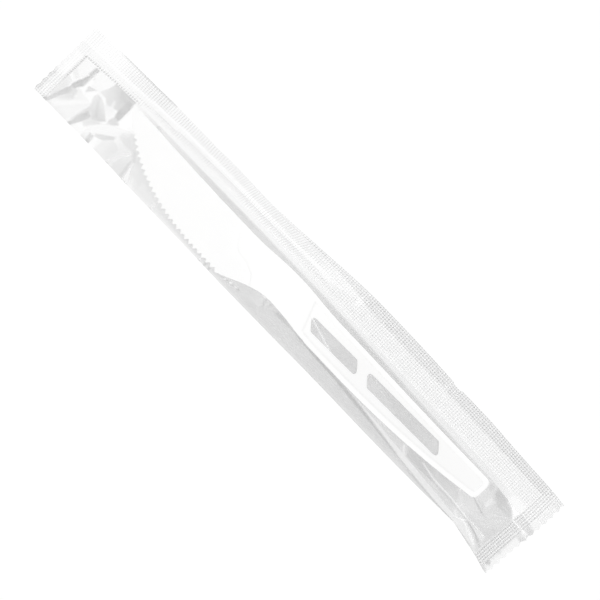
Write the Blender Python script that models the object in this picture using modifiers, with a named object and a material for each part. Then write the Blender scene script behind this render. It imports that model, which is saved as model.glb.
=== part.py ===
# A wrapped table knife: one moulded plastic knife, sealed in one folded sheet of clear film.
# Metres, +Z up. X runs from the blade end of the pack to the handle end, and Y from the folded
# side of the film to its fin seal. The origin is the middle of the pack's underside.

import math

import bmesh
import bpy

# Knife, seen from above
BLADE_LENGTH = 0.0558  # tip to heel
HANDLE_LENGTH = 0.1095  # heel to butt
BLADE_WIDTH = 0.0175  # spine to cutting edge at the heel
NECK_WIDTH = 0.0122
GRIP_WIDTH = 0.0127
BUTT_WIDTH = 0.0075
HEEL_RUN = 0.0190  # length of the hollow curve from the heel to the neck
HEEL_FULLNESS = 0.8  # how much that curve bulges before it hollows
GRIP_START = 0.0180  # from the heel, where the neck starts to widen
GRIP_FULL = 0.0400  # from the heel, where the grip is widest
SPINE_RISE = 0.0015  # how far the spine climbs from the heel to the tip
TIP_DROP = 0.0010  # rounding of the spine at the tip
HUMP_HEIGHT = 0.0010  # thumb rise on the back of the neck
HUMP_CENTRE = 0.0200
HUMP_REACH = 0.0200
BACK_FALL = 0.0007  # how far the back falls along the handle
BACK_FALL_START = 0.0300
BACK_FALL_RUN = 0.0650
BUTT_RADIUS = 0.0020
BELLY_POWER = 3.0  # shape of the cutting edge between the heel and the tip
NOSE_POWER = 0.79
SPINE_POWER = 1.8
TAPER_POWER = 2.2  # how late the handle narrows towards the butt
TOOTH_PITCH = 0.0020
TOOTH_DEPTH = 0.0011
TOOTHED_SHARE = 0.90  # share of the blade's length that is toothed

# Knife, thickness
HANDLE_THICKNESS = 0.0026
SPINE_THICKNESS = 0.0018
EDGE_THICKNESS = 0.0006
SHOULDER_REACH = 0.0068  # how far the thick handle runs past the heel, along the spine
SHOULDER_RETURN = 0.0112  # from the heel, where the shoulder meets the knife's lower edge
EDGE_ROUND = 0.0006  # rounding of the handle's outer edges
RIM_WIDTH = 0.0016
PANEL_DEPTH = 0.00035  # how far the handle's panel lies below its rim, on each face
PANEL_START = 0.0290  # from the heel

# Windows through the handle
WINDOW_WIDTH = 0.0042
WINDOW_START = 0.0312  # from the heel to the first window
FIRST_WINDOW_LENGTH = 0.0206
SECOND_WINDOW_LENGTH = 0.0320
WINDOW_BRIDGE = 0.0046
WINDOW_SLANT = 0.0038  # how far a slanted end leans along the handle
WINDOW_RADIUS = 0.0009
WINDOW_DROP = 0.0067  # from the spine at the heel down to the windows' middle line, where they start
WINDOW_CLIMB = 0.018  # slope of that line

# Film
WALL = 0.00025  # one layer of film
REST_GAP = 0.0003  # between the knife and the film that it touches
TIP_SLACK = 0.0214  # seal to knife tip
BUTT_SLACK = 0.0133  # knife butt to seal
SIDE_SLACK = 0.00115  # cutting edge to the film's side fold
STEP_RUN = 0.0060  # how far the film takes to settle from the handle's height to the blade's
END_FLARE = 0.00345  # how far the film spreads at the handle end
BLADE_SEAL = 0.0050
HANDLE_SEAL = 0.0047
HANDLE_SKIRT = 0.0038  # unsealed film past the handle end's seal
SEAL_PITCH = 0.0009
SEAL_RIB = 0.00015
GATHER_HEIGHT = 0.0008
VENT_RADIUS = 0.0005
TUBE_STRIPS = (5, 4, 2)  # facets across: beside the cutting edge, over the knife, and beside its back

# Fin seal
JOIN = 0.0005  # half the strip that the tube and the fin share
FIN_ROOT = 0.0035  # from the spine at the heel to the start of the fin
FIN_WIDTH = 0.01015
FIN_RIB_PITCH = 0.0011
FIN_RIB = 0.00018
FIN_TUCK = 0.0030  # how much narrower the fin lies at the blade end, where it is creased up
FOLD_SHARE = 0.56  # share of the fin's width that lies over the tube's own side
FOLD_STEP = 0.0005  # height of the fin's bend over the edge of that side
FIN_SWING = 0.0026  # how far the fin's edge draws in again at the handle end

# Cut ends of the film
ZIGZAG_PITCH = 0.0027
ZIGZAG_DEPTH = 0.0009

KNIFE_COLOUR = (0.92, 0.92, 0.91, 1.0)
FILM_COLOUR = (0.90, 0.91, 0.92, 0.30)

# Worked out from the sizes above
FLAT = 2 * WALL  # two layers pressed together
KNIFE_LENGTH = BLADE_LENGTH + HANDLE_LENGTH
PACK_LENGTH = BLADE_SEAL + TIP_SLACK + KNIFE_LENGTH + BUTT_SLACK + HANDLE_SEAL + HANDLE_SKIRT
PACK_START = -PACK_LENGTH / 2
HEEL_X = PACK_START + BLADE_SEAL + TIP_SLACK + BLADE_LENGTH
TIP_X = HEEL_X - BLADE_LENGTH
BUTT_X = HEEL_X + HANDLE_LENGTH
FOLD_BELOW_SPINE = BLADE_WIDTH + SIDE_SLACK
FIN_TOP = FIN_ROOT + FIN_WIDTH
SPINE_Y = (FOLD_BELOW_SPINE + END_FLARE - FIN_TOP) / 2
KNIFE_MIDDLE_Z = WALL + REST_GAP + HANDLE_THICKNESS / 2
LID = REST_GAP + WALL  # from the knife's face to the film's outer face


def smooth(share):
    share = min(max(share, 0.0), 1.0)
    return share * share * (3 - 2 * share)


def mix(a, b, share):
    return a + (b - a) * share


# Outline of the knife, with its origin on the spine at the heel


def back_y(x):
    """Y of the knife's upper edge."""
    if x < 0:
        share = -x / BLADE_LENGTH
        return SPINE_RISE * share**SPINE_POWER - TIP_DROP * share**24
    hump = 0.0
    if abs(x - HUMP_CENTRE) < HUMP_REACH:
        hump = HUMP_HEIGHT * math.cos(math.pi / 2 * (x - HUMP_CENTRE) / HUMP_REACH) ** 2
    return hump - BACK_FALL * smooth((x - BACK_FALL_START) / BACK_FALL_RUN)


def width_at(x):
    """Width of the knife from its upper to its lower edge, without teeth."""
    if x < 0:
        share = min(-x / BLADE_LENGTH, 1.0)
        return BLADE_WIDTH * (1 - share**BELLY_POWER) ** NOSE_POWER
    if x < HEEL_RUN:
        share = x / HEEL_RUN
        hollow = (1 - share) ** 2 * (1 + HEEL_FULLNESS * share * (1 - share))
        return mix(NECK_WIDTH, BLADE_WIDTH, hollow)
    if x < GRIP_FULL:
        return mix(NECK_WIDTH, GRIP_WIDTH, smooth((x - GRIP_START) / (GRIP_FULL - GRIP_START)))
    share = (x - GRIP_FULL) / (HANDLE_LENGTH - GRIP_FULL)
    return GRIP_WIDTH - (GRIP_WIDTH - BUTT_WIDTH) * min(share, 1.0) ** TAPER_POWER


def low_y(x):
    return back_y(x) - width_at(x)


def spread(start, end, step):
    """Evenly spaced values from start to end, about step apart."""
    count = max(1, math.ceil(abs(end - start) / step))
    return [mix(start, end, i / count) for i in range(count + 1)]


def arc(cx, cy, radius, first, last, steps):
    angles = [math.radians(mix(first, last, i / steps)) for i in range(steps + 1)]
    return [(cx + radius * math.cos(a), cy + radius * math.sin(a)) for a in angles]


def toothed_edge():
    """Points of the cutting edge from the end of its teeth to the heel: tips on the edge, valleys above."""
    fine = spread(-TOOTHED_SHARE * BLADE_LENGTH, 0.0, 0.0002)
    line = [(x, low_y(x)) for x in fine]
    along = [0.0]
    for a, b in zip(line, line[1:]):
        along.append(along[-1] + math.dist(a, b))
    teeth = round(along[-1] / TOOTH_PITCH)
    points = []
    k = 0
    for i in range(2 * teeth + 1):
        place = along[-1] * i / (2 * teeth)
        while k < len(line) - 2 and along[k + 1] < place:
            k += 1
        share = (place - along[k]) / (along[k + 1] - along[k])
        (x0, y0), (x1, y1) = line[k], line[k + 1]
        x, y = mix(x0, x1, share), mix(y0, y1, share)
        if i % 2:
            run = math.dist((x0, y0), (x1, y1))
            x -= TOOTH_DEPTH * (y1 - y0) / run
            y += TOOTH_DEPTH * (x1 - x0) / run
        points.append((x, y))
    return points


def knife_outline():
    """The knife's outline, anticlockwise: nose, teeth, heel and underside of the handle, butt, back, spine."""
    toothed = toothed_edge()
    shares = [1.0, 0.997, 0.988, 0.972, 0.95, 0.925]
    nose = [(-BLADE_LENGTH * s, low_y(-BLADE_LENGTH * s)) for s in shares]
    under = [(x, low_y(x)) for x in spread(0.0, HANDLE_LENGTH - BUTT_RADIUS, 0.0024)[1:-1]]
    r = BUTT_RADIUS
    end = HANDLE_LENGTH - r
    corners = arc(end, low_y(end) + r, r, -90, 0, 4) + arc(end, back_y(end) - r, r, 0, 90, 4)
    back = [(x, back_y(x)) for x in spread(HANDLE_LENGTH - r, 0.0, 0.0028)[1:]]
    spine = [(-BLADE_LENGTH * s, back_y(-BLADE_LENGTH * s)) for s in (0.3, 0.6, 0.85, 0.93, 0.97, 0.99)]
    return nose + toothed + under + corners + back + spine


def panel_outline():
    """The sunken panel of the handle: the handle's outline moved in by the rim, with a slanted front."""
    inner = BUTT_RADIUS * 0.5
    end = HANDLE_LENGTH - RIM_WIDTH - inner
    below = [(x, low_y(x) + RIM_WIDTH) for x in spread(PANEL_START + WINDOW_SLANT, end, 0.0030)]
    above = [(x, back_y(x) - RIM_WIDTH) for x in spread(end, PANEL_START, 0.0030)]
    (bx, by), (ax, ay) = below.pop(), above.pop(0)
    corners = arc(bx, by + inner, inner, -90, 0, 3) + arc(ax, ay - inner, inner, 0, 90, 3)
    return below + corners + above


def window_outline(start, length):
    """A window with slanted ends and round corners, on the windows' middle line."""
    half = WINDOW_WIDTH / 2
    lean = WINDOW_SLANT
    corners = [
        (start, half),
        (start + lean, -half),
        (start + length + lean, -half),
        (start + length, half),
    ]
    placed = [(x, y - WINDOW_DROP + WINDOW_CLIMB * (x - WINDOW_START)) for x, y in corners]
    return rounded(placed, WINDOW_RADIUS, 3)


def rounded(corners, radius, steps):
    """The polygon with each corner replaced by an arc of that radius."""
    points = []
    for i, corner in enumerate(corners):
        before, after = corners[i - 1], corners[(i + 1) % len(corners)]
        u = [(before[k] - corner[k]) / math.dist(before, corner) for k in (0, 1)]
        w = [(after[k] - corner[k]) / math.dist(after, corner) for k in (0, 1)]
        half_angle = math.acos(max(-1.0, min(1.0, u[0] * w[0] + u[1] * w[1]))) / 2
        reach = radius / math.tan(half_angle)
        middle = [u[k] + w[k] for k in (0, 1)]
        length = math.hypot(*middle)
        centre = [corner[k] + middle[k] / length * radius / math.sin(half_angle) for k in (0, 1)]
        first = [corner[k] + u[k] * reach - centre[k] for k in (0, 1)]
        last = [corner[k] + w[k] * reach - centre[k] for k in (0, 1)]
        a0 = math.atan2(first[1], first[0])
        turn = (math.atan2(last[1], last[0]) - a0 + math.pi) % (2 * math.pi) - math.pi
        for s in range(steps + 1):
            a = a0 + turn * s / steps
            points.append((centre[0] + radius * math.cos(a), centre[1] + radius * math.sin(a)))
    return points


# Blender objects


def clear_scene():
    for obj in list(bpy.data.objects):
        bpy.data.objects.remove(obj, do_unlink=True)


def collection(name, rendered=True):
    made = bpy.data.collections.new(name)
    bpy.context.scene.collection.children.link(made)
    made.hide_render = not rendered
    return made


def material(name, colour, roughness):
    made = bpy.data.materials.new(name)
    made.use_nodes = True
    shader = made.node_tree.nodes["Principled BSDF"]
    shader.inputs["Base Color"].default_value = (*colour[:3], 1.0)
    shader.inputs["Alpha"].default_value = colour[3]
    shader.inputs["Roughness"].default_value = roughness
    shader.inputs["Metallic"].default_value = 0.0
    made.diffuse_color = colour
    return made


def flat_piece(name, outline, thickness, home):
    """A solid plate with that outline, its middle at Z 0, as a mesh."""
    curve = bpy.data.curves.new(name + "_outline", "CURVE")
    curve.dimensions = "2D"
    curve.fill_mode = "BOTH"
    curve.extrude = thickness / 2
    line = curve.splines.new("POLY")
    line.points.add(len(outline) - 1)
    for point, (x, y) in zip(line.points, outline):
        point.co = (x, y, 0.0, 1.0)
    line.use_cyclic_u = True
    drawn = bpy.data.objects.new(name + "_outline", curve)
    home.objects.link(drawn)
    graph = bpy.context.evaluated_depsgraph_get()
    mesh = bpy.data.meshes.new_from_object(drawn.evaluated_get(graph))
    made = bpy.data.objects.new(name, mesh)
    made.matrix_world = drawn.matrix_world
    home.objects.link(made)
    bpy.data.objects.remove(drawn)
    bm = bmesh.new()
    bm.from_mesh(mesh)
    bmesh.ops.remove_doubles(bm, verts=bm.verts, dist=1e-6)
    caps = [e for e in bm.edges if all(abs(f.normal.z) > 0.9 for f in e.link_faces)]
    bmesh.ops.dissolve_edges(bm, edges=caps)
    bmesh.ops.recalc_face_normals(bm, faces=bm.faces)
    bm.to_mesh(mesh)
    bm.free()
    return made


def as_cutter(obj):
    obj.hide_render = True
    obj.display_type = "WIRE"
    return obj


def boolean(obj, other, operation):
    modifier = obj.modifiers.new(other.name, "BOOLEAN")
    modifier.operation = operation
    modifier.object = as_cutter(other)


def round_handle_edges(knife):
    """Rounds the edges of both faces of the handle, from the panel's side of the neck to the butt."""
    bm = bmesh.new()
    bm.from_mesh(knife.data)
    weight = bm.edges.layers.float.new("bevel_weight_edge")
    for edge in bm.edges:
        flat = abs(edge.verts[0].co.z - edge.verts[1].co.z) < 1e-6
        outer = len(edge.link_faces) == 2 and edge.calc_face_angle(0.0) > 1.0
        if flat and outer and min(v.co.x for v in edge.verts) > HEEL_RUN * 0.25:
            edge[weight] = 1.0
    bm.to_mesh(knife.data)
    bm.free()
    bevel = knife.modifiers.new("rounded edges", "BEVEL")
    bevel.limit_method = "WEIGHT"
    bevel.width = EDGE_ROUND
    bevel.segments = 2


def flank_cutter(name, side, home):
    """Takes one face of the blade down to its taper. Its inner end is the blade's S-shaped shoulder."""
    beyond = BLADE_WIDTH
    reach, back = SHOULDER_REACH, SHOULDER_RETURN
    shoulder = [
        (-reach, beyond),
        (-0.82 * reach, back_y(-0.82 * reach)),
        (-0.50 * reach, back_y(0.0) - 0.14 * BLADE_WIDTH),
        (-0.24 * reach, back_y(0.0) - 0.32 * BLADE_WIDTH),
        (0.07 * back, back_y(0.0) - 0.43 * BLADE_WIDTH),
        (0.46 * back, back_y(0.0) - 0.46 * BLADE_WIDTH),
        (0.79 * back, back_y(0.0) - 0.55 * BLADE_WIDTH),
        (back, low_y(back)),
        (1.3 * back, low_y(1.3 * back) - beyond),
    ]
    outline = shoulder + [(-BLADE_LENGTH - beyond, -2 * beyond), (-BLADE_LENGTH - beyond, beyond)]
    height = 2 * HANDLE_THICKNESS
    cutter = flat_piece(name, outline, height, home)
    taper = math.atan((SPINE_THICKNESS - EDGE_THICKNESS) / 2 / BLADE_WIDTH)
    cutter.rotation_euler = (side * taper, 0.0, 0.0)
    cutter.location = (HEEL_X, SPINE_Y, KNIFE_MIDDLE_Z + side * (SPINE_THICKNESS + height) / 2)
    return cutter


def build_knife(home, helpers, plastic):
    knife = flat_piece("knife", knife_outline(), HANDLE_THICKNESS, home)
    knife.location = (HEEL_X, SPINE_Y, KNIFE_MIDDLE_Z)
    round_handle_edges(knife)
    second_start = WINDOW_START + FIRST_WINDOW_LENGTH + WINDOW_BRIDGE
    windows = ((WINDOW_START, FIRST_WINDOW_LENGTH), (second_start, SECOND_WINDOW_LENGTH))
    for i, (start, length) in enumerate(windows, 1):
        outline = window_outline(start, length)
        window = flat_piece(f"window_{i}_cutter", outline, 2 * HANDLE_THICKNESS, helpers)
        window.location = (HEEL_X, SPINE_Y, KNIFE_MIDDLE_Z)
        boolean(knife, window, "DIFFERENCE")
    for side, face in ((1, "upper"), (-1, "lower")):
        boolean(knife, flank_cutter(face + "_flank", side, helpers), "DIFFERENCE")
        panel = flat_piece(face + "_panel", panel_outline(), 2 * PANEL_DEPTH, helpers)
        panel.location = (HEEL_X, SPINE_Y, KNIFE_MIDDLE_Z + side * HANDLE_THICKNESS / 2)
        boolean(knife, panel, "DIFFERENCE")
    knife.data.materials.append(plastic)
    return knife


# Film


def film_fold(x):
    """Y of the film's folded side, which spreads into a flared corner at the handle end."""
    flare_start = BUTT_X
    flare_end = PACK_START + PACK_LENGTH - HANDLE_SKIRT
    return SPINE_Y - FOLD_BELOW_SPINE - END_FLARE * smooth((x - flare_start) / (flare_end - flare_start))


def fin_edge(x):
    """Y of the fin's outer edge: drawn in where it is creased at the blade end, and past the handle."""
    tucked = 1 - smooth((x + 0.012) / 0.030)
    swung = max(0.0, x - 0.020) / (PACK_LENGTH / 2 - 0.020)
    return SPINE_Y + FIN_TOP - FIN_TUCK * tucked - FIN_SWING * swung


def knife_top(x, y):
    """Z of the knife's upper face under the film."""
    past = HEEL_X - SHOULDER_REACH - x
    share = (SPINE_Y - y) / BLADE_WIDTH
    blade = KNIFE_MIDDLE_Z + mix(SPINE_THICKNESS, EDGE_THICKNESS, share) / 2
    return mix(KNIFE_MIDDLE_Z + HANDLE_THICKNESS / 2, blade, smooth(past / STEP_RUN))


def film_section(x):
    """The four corners of the film over the knife at x: fold, cutting edge, back, and foot of the drop."""
    inside = min(max(x, TIP_X), BUTT_X)
    low = SPINE_Y + low_y(inside - HEEL_X) - REST_GAP
    back = SPINE_Y + back_y(inside - HEEL_X) + REST_GAP
    if x < TIP_X:
        share = (TIP_X - x) / TIP_SLACK
        low = mix(low, film_fold(x) + BLADE_WIDTH * 0.25, smooth(share))
    elif x > BUTT_X:
        share = (x - BUTT_X) / BUTT_SLACK
        low = mix(low, film_fold(x) + BLADE_WIDTH * 0.25, smooth(share))
    else:
        share = 0.0
    share = min(share, 1.0)
    low_z = mix(knife_top(inside, low) + LID, FLAT, share)
    back_z = mix(knife_top(inside, back) + LID, FLAT, share)
    foot = SPINE_Y + FIN_ROOT - 1.5 * JOIN
    return [(film_fold(x), FLAT), (low, low_z), (back, back_z), (foot, FLAT)]


def section_points(x, ribs, strips):
    """The film's upper side across the pack at x, as (y, z) from the fold to the fin."""
    corners = film_section(x)
    points = [corners[0]]
    for (a, b), count in zip(zip(corners, corners[1:]), strips):
        points += [(mix(a[0], b[0], i / count), mix(a[1], b[1], i / count)) for i in range(1, count + 1)]
    slack = max((TIP_X - x) / TIP_SLACK, (x - BUTT_X) / BUTT_SLACK, 0.0)
    lift = GATHER_HEIGHT * math.sin(math.pi * min(slack, 1.0))
    last = len(points) - 1
    return [(y, z + ribs + (lift if j % 2 and j != last else 0.0)) for j, (y, z) in enumerate(points)]


def slab(name, rows, floor_z, home, flat_to=None):
    """A closed solid under a grid of points, with a flat underside at floor_z.

    Facets that lie wholly below the Y flat_to are in one plane, and are merged."""
    bm = bmesh.new()
    grid = [[bm.verts.new(p) for p in row] for row in rows]
    top = []
    for a, b in zip(grid, grid[1:]):
        for j in range(len(a) - 1):
            top.append(bm.faces.new((a[j], b[j], b[j + 1], a[j + 1])))
    rim = grid[0][:-1] + [row[-1] for row in grid[:-1]] + grid[-1][:0:-1] + [row[0] for row in grid[:0:-1]]
    foot = [bm.verts.new((v.co.x, v.co.y, floor_z)) for v in rim]
    for i in range(len(rim)):
        j = (i + 1) % len(rim)
        bm.faces.new((rim[i], rim[j], foot[j], foot[i]))
    bm.faces.new(foot)
    bmesh.ops.triangulate(bm, faces=top)
    bmesh.ops.recalc_face_normals(bm, faces=bm.faces)
    if flat_to is not None:
        flat = [v for v in bm.verts if v.co.y < flat_to]
        edges = [e for e in bm.edges if all(v.co.y < flat_to for v in e.verts)]
        bmesh.ops.dissolve_limit(bm, angle_limit=0.002, verts=flat, edges=edges)
    mesh = bpy.data.meshes.new(name)
    bm.to_mesh(mesh)
    bm.free()
    made = bpy.data.objects.new(name, mesh)
    home.objects.link(made)
    return made


def seal_stations(start, length):
    """(x, rib height) pairs across an end seal: valleys and crests in turn."""
    ribs = max(1, round(length / SEAL_PITCH))
    pairs = [(start + length * i / (2 * ribs), SEAL_RIB * (i % 2)) for i in range(2 * ribs + 1)]
    return pairs


def film_body(home):
    """The folded tube of film with its two end seals, still solid."""
    seal_a = seal_stations(PACK_START, BLADE_SEAL)
    tip = [(x, 0.0) for x in spread(seal_a[-1][0], TIP_X, 0.0022)[1:]]
    along = [(x, 0.0) for x in spread(TIP_X, BUTT_X, 0.0052)[1:]]
    nose = [(TIP_X + BLADE_LENGTH * s, 0.0) for s in (0.02, 0.05)]
    butt = [(x, 0.0) for x in spread(BUTT_X, BUTT_X + BUTT_SLACK, 0.0018)[1:]]
    seal_b = seal_stations(BUTT_X + BUTT_SLACK, HANDLE_SEAL)[1:]
    ends = [(PACK_START - ZIGZAG_DEPTH, 0.0), (PACK_START + PACK_LENGTH + ZIGZAG_DEPTH, 0.0)]
    stations = sorted(seal_a + tip + nose + along + butt + seal_b + ends)
    rows = []
    for x, rib in stations:
        points = section_points(x, rib, TUBE_STRIPS)
        points.append((SPINE_Y + FIN_ROOT - 0.4 * JOIN, FLAT + rib))
        rows.append([(x, y, z) for y, z in points])
    return slab("film_body", rows, 0.0, home)


def film_cavity(home):
    """The room inside the film. It is one wall in from the film's outside."""
    start = PACK_START + BLADE_SEAL + 0.12 * TIP_SLACK
    end = BUTT_X + BUTT_SLACK * 0.85
    stations = spread(start, TIP_X, 0.0022) + spread(TIP_X, BUTT_X, 0.0052)[1:]
    stations += spread(BUTT_X, end, 0.0020)[1:] + [TIP_X + BLADE_LENGTH * s for s in (0.02, 0.05)]
    least = 1.35 * WALL
    rows = []
    for x in sorted(stations):
        points = section_points(x, 0.0, TUBE_STRIPS)
        lowered = [(y, max(z - WALL, least)) for y, z in points]
        (y0, _), (y1, _) = points[0], points[1]
        lowered[0] = (mix(y0, y1, 0.12), least)
        (y0, _), (y1, _) = points[-2], points[-1]
        lowered[-1] = (mix(y0, y1, 0.80), least)
        rows.append([(x, y, z) for y, z in lowered])
    return slab("film_cavity", rows, WALL, home)


def fin(home):
    """The fin seal: both edges of the film pressed together and ribbed, bent over the tube's side."""
    root = SPINE_Y + FIN_ROOT
    ribs = round(PACK_LENGTH / FIN_RIB_PITCH)
    half_pitch = PACK_LENGTH / (2 * ribs)
    sunk = 0.2 * WALL
    rows = []
    for i in range(-1, 2 * ribs + 2):
        x = PACK_START + half_pitch * i
        edge = fin_edge(x)
        bend = mix(root, edge, FOLD_SHARE)
        z = FLAT - sunk + FIN_RIB * (i % 2)
        across = [
            (root - JOIN, FLAT - sunk),
            (root, FLAT - sunk),
            (root + 2 * JOIN, z),
            (bend, z + FOLD_STEP),
            (bend + FOLD_STEP, z),
            (edge, z),
        ]
        rows.append([(x, y, z) for y, z in across])
    return slab("fin_seal", rows, sunk, home, flat_to=root + JOIN)


def zigzag_cutter(name, x, side, home):
    """Cuts one end of the film to a row of points. side is -1 at the blade end and 1 at the handle end."""
    low = SPINE_Y - FOLD_BELOW_SPINE - END_FLARE - ZIGZAG_PITCH
    high = SPINE_Y + FIN_TOP + ZIGZAG_PITCH
    count = math.ceil((high - low) / ZIGZAG_PITCH)
    line = []
    for i in range(2 * count + 1):
        tooth = ZIGZAG_DEPTH * (i % 2)
        line.append((x - side * tooth, low + i * ZIGZAG_PITCH / 2))
    outside = x + side * ZIGZAG_PITCH
    outline = line + [(outside, line[-1][1]), (outside, line[0][1])]
    return flat_piece(name, outline, 20 * WALL, home)


def build_film(home, helpers, clear):
    body = film_body(home)
    body.name = "film_wrapper"
    body.data.name = "film_wrapper"
    boolean(body, fin(helpers), "UNION")
    boolean(body, film_cavity(helpers), "DIFFERENCE")
    bpy.ops.mesh.primitive_cylinder_add(
        vertices=12, radius=VENT_RADIUS, depth=3 * WALL, location=(TIP_X - TIP_SLACK / 2, SPINE_Y - BLADE_WIDTH / 2, 0.0)
    )
    vent = bpy.context.object
    vent.name = "vent_cutter"
    boolean(body, vent, "DIFFERENCE")
    ends = ((PACK_START, -1, "blade_end"), (PACK_START + PACK_LENGTH, 1, "handle_end"))
    for x, side, name in ends:
        boolean(body, zigzag_cutter(name + "_zigzag", x, side, helpers), "DIFFERENCE")
    body.data.materials.append(clear)
    return body


def main():
    clear_scene()
    pack = collection("wrapped_knife")
    helpers = collection("helpers", rendered=False)
    plastic = material("white_plastic", KNIFE_COLOUR, 0.35)
    clear = material("clear_film", FILM_COLOUR, 0.12)
    build_knife(pack, helpers, plastic)
    build_film(pack, helpers, clear)


main()
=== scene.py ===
import math

import bpy
import numpy as np
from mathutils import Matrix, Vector
from mathutils.geometry import delaunay_2d_cdt


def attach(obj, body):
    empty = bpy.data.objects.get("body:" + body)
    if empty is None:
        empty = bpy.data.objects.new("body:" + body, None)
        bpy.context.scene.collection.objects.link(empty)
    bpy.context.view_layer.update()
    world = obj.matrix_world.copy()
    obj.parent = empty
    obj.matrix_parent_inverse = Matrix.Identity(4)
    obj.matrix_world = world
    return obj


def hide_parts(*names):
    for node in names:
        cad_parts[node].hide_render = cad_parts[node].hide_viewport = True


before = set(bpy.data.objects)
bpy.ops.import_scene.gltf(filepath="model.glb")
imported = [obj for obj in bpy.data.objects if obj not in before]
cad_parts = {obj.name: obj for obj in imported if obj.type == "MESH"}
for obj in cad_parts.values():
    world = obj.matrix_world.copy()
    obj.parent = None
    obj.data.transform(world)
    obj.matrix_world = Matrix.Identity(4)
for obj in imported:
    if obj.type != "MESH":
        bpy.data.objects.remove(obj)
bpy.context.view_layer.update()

mm = 0.001  # the pieces' shapes and their dictionaries are in millimetres


# shared helpers

def share(x, start, end):
    # 0 at start and 1 at end, straight between them and level beyond: (x - start) / (end - start)
    return np.clip((x - start) / (end - start), 0.0, 1.0)


def ramp(x, start, end):
    # as share, but easing in and out: 3t^2 - 2t^3 of that share t
    t = share(x, start, end)
    return t * t * (3.0 - 2.0 * t)


def bell(x, middle, width):
    # 1 at middle, falling off on both sides: exp(-((x - middle) / width)^2)
    return np.exp(-(((x - middle) / width) ** 2))


def through(x, points):
    # smooth curve through (x, value) points that never overshoots them: cubic Hermite whose slope at a
    # point is 2ab / (a + b) of the slopes a, b on both sides, or 0 where they differ in sign
    px, pv = np.array(points, float).T
    side = np.diff(pv) / np.diff(px)
    a, b = side[:-1], side[1:]
    both = np.where(a * b > 0, 2 * a * b / np.where(a * b > 0, a + b, 1.0), 0.0)
    slope = np.concatenate([side[:1], both, side[-1:]])
    x = np.clip(x, px[0], px[-1])
    k = np.clip(np.searchsorted(px, x) - 1, 0, len(px) - 2)
    gap = px[k + 1] - px[k]
    t = (x - px[k]) / gap
    return ((2 * t**3 - 3 * t**2 + 1) * pv[k] + (t**3 - 2 * t**2 + t) * gap * slope[k]
            + (3 * t**2 - 2 * t**3) * pv[k + 1] + (t**3 - t**2) * gap * slope[k + 1])


def lineMask(x, y, line, halfWidth, endWidth):
    # 1 on a line of straight stretches: exp(-(off / halfWidth)^2 - (past / endWidth)^2), where off is the
    # distance from a stretch and past is how far a point lies beyond its ends
    mask = np.zeros_like(x)
    for (ax, ay), (bx, by) in zip(line, line[1:]):
        dx, dy = bx - ax, by - ay
        length = math.hypot(dx, dy)
        t = ((x - ax) * dx + (y - ay) * dy) / length
        off = ((y - ay) * dx - (x - ax) * dy) / length
        past = np.maximum(np.maximum(-t, t - length), 0.0)
        mask = np.maximum(mask, bell(off, 0.0, halfWidth) * bell(past, 0.0, endWidth))
    return mask


def facetMask(x, y, corners, soft):
    # 1 inside a convex polygon, easing to 0 across its edges from soft inside them to soft outside:
    # the ramp of the least signed distance to an edge
    pts = np.array(corners, float)
    if np.sum(pts[:, 0] * np.roll(pts[:, 1], -1) - pts[:, 1] * np.roll(pts[:, 0], -1)) < 0:
        pts = pts[::-1]
    inside = np.full_like(x, np.inf)
    for a, b in zip(pts, np.roll(pts, -1, 0)):
        edge = b - a
        off = ((y - a[1]) * edge[0] - (x - a[0]) * edge[1]) / np.hypot(*edge)
        inside = np.minimum(inside, off)
    return ramp(inside, -soft, soft)


def gridFaces(rows, cols):
    # quads of a rows by cols grid of vertices, as an array of four indices each
    a = (np.arange(rows - 1)[:, None] * cols + np.arange(cols - 1)[None, :]).ravel()
    return np.stack([a, a + cols, a + cols + 1, a + 1], 1)


def makeMesh(name, points, faces, values):
    # a mesh object at the origin from an (n, 3) array in millimetres, with point attributes
    mesh = bpy.data.meshes.new(name)
    mesh.from_pydata((points * mm).tolist(), [], [list(map(int, f)) for f in faces])
    for key, data in values.items():
        layer = mesh.attributes.new(key, "FLOAT", "POINT")
        layer.data.foreach_set("value", data.astype(np.float32).ravel())
    mesh.polygons.foreach_set("use_smooth", [True] * len(mesh.polygons))
    mesh.update()
    piece = bpy.data.objects.new(name, mesh)
    bpy.context.scene.collection.objects.link(piece)
    return piece


def heightUnder(node, x, y, slack=1e-6):
    # highest Z of a node's upward triangles at each (x, y), in millimetres, or -1 where there is none:
    # z = az + wb (bz - az) + wc (cz - az), inside where wb, wc and 1 - wb - wc are not negative
    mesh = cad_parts[node].data
    count = len(mesh.vertices)
    co = np.empty(count * 3)
    mesh.vertices.foreach_get("co", co)
    co = co.reshape(-1, 3) / mm
    mesh.calc_loop_triangles()
    tri = np.empty(len(mesh.loop_triangles) * 3, int)
    mesh.loop_triangles.foreach_get("vertices", tri)
    top = np.full(x.shape, -1.0)
    for a, b, c in co[tri.reshape(-1, 3)]:
        area = (b[0] - a[0]) * (c[1] - a[1]) - (b[1] - a[1]) * (c[0] - a[0])
        if area < slack**2:  # it faces down, or is seen edge on
            continue
        low, high = np.minimum(np.minimum(a, b), c), np.maximum(np.maximum(a, b), c)
        near = (x >= low[0]) & (x <= high[0]) & (y >= low[1]) & (y <= high[1])
        if not near.any():
            continue
        px, py = x[near], y[near]
        wb = ((px - a[0]) * (c[1] - a[1]) - (py - a[1]) * (c[0] - a[0])) / area
        wc = ((b[0] - a[0]) * (py - a[1]) - (b[1] - a[1]) * (px - a[0])) / area
        z = a[2] + wb * (b[2] - a[2]) + wc * (c[2] - a[2])
        z = np.where((wb >= -slack) & (wc >= -slack) & (wb + wc <= 1 + slack), z, -1.0)
        top[near] = np.maximum(top[near], z)
    return top


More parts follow.
